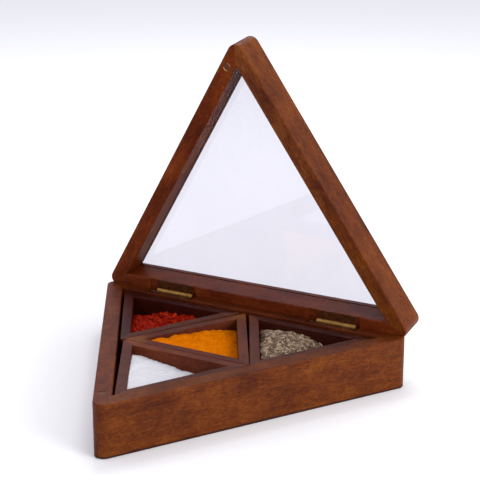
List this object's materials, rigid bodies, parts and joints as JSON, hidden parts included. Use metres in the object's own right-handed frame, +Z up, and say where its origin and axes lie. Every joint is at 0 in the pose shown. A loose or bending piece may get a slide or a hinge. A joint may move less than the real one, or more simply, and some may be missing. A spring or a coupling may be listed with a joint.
{
  "type": "triangular spice box",
  "caption": "Triangular wooden spice box with a hinged glass-paned lid and removable triangular spice trays.",
  "frame": {"origin": "underside of the box, at the centre of the plan triangle's incircle", "axes": "+Z up, +X along the hinged side to the right as seen from the sharp corner, +Y towards the hinged side at the back"},
  "size_m": [0.2498, 0.2272, 0.2408],
  "materials": {
    "base_wood": "stained and lacquered hardwood, satin",
    "lid_wood": "stained and lacquered hardwood, satin",
    "tray_wood": "stained and lacquered hardwood, satin",
    "panel_wood": "plain plywood, unfinished underneath",
    "hinge_brass": "polished sheet brass",
    "screw_brass": "plain brass",
    "magnet": "nickel-plated disc, satin",
    "glass": "clear float glass",
    "chilli": "clumped ground chilli, matt",
    "turmeric": "ground turmeric, matt",
    "cumin": "whole cumin seeds, matt",
    "salt": "fine white salt, matt"
  },
  "bodies": {
    "base": {"base_back_wall": "base_wood", "base_left_wall": "base_wood", "base_right_wall": "base_wood", "base_bottom_panel": "panel_wood", "base_magnet": "magnet", "hinge_left_base_leaf": "hinge_brass", "hinge_right_base_leaf": "hinge_brass", "hinge_left_pin": "hinge_brass", "hinge_right_pin": "hinge_brass", "base_hinge_screws": "screw_brass"},
    "lid": {"lid_back_rail": "lid_wood", "lid_left_rail": "lid_wood", "lid_right_rail": "lid_wood", "lid_glass_pane": "glass", "lid_magnet": "magnet", "hinge_left_lid_leaf": "hinge_brass", "hinge_right_lid_leaf": "hinge_brass", "lid_hinge_screws": "screw_brass"},
    "left_tray": {"left_tray_back_wall": "tray_wood", "left_tray_left_wall": "tray_wood", "left_tray_right_wall": "tray_wood", "left_tray_bottom": "tray_wood", "chilli_heap": "chilli"},
    "centre_tray": {"centre_tray_front_wall": "tray_wood", "centre_tray_left_wall": "tray_wood", "centre_tray_right_wall": "tray_wood", "centre_tray_bottom": "tray_wood", "turmeric_heap": "turmeric"},
    "right_tray": {"right_tray_back_wall": "tray_wood", "right_tray_left_wall": "tray_wood", "right_tray_right_wall": "tray_wood", "right_tray_bottom": "tray_wood", "cumin_heap": "cumin"},
    "front_tray": {"front_tray_back_wall": "tray_wood", "front_tray_left_wall": "tray_wood", "front_tray_right_wall": "tray_wood", "front_tray_bottom": "tray_wood", "salt_heap": "salt"}
  },
  "joints": [
    {"name": "lid_hinge", "type": "hinge", "parent": "base", "child": "lid", "pos_m": [0, 0.0696, 0.0373], "axis": [-1, 0, 0], "range_deg": [-83, 0]},
    {"name": "left_tray_lift", "type": "slide", "parent": "base", "child": "left_tray", "axis": [0, 0, 1], "range_m": [0, 0.045]},
    {"name": "centre_tray_lift", "type": "slide", "parent": "base", "child": "centre_tray", "axis": [0, 0, 1], "range_m": [0, 0.045]},
    {"name": "right_tray_lift", "type": "slide", "parent": "base", "child": "right_tray", "axis": [0, 0, 1], "range_m": [0, 0.045]},
    {"name": "front_tray_lift", "type": "slide", "parent": "base", "child": "front_tray", "axis": [0, 0, 1], "range_m": [0, 0.045]}
  ]
}
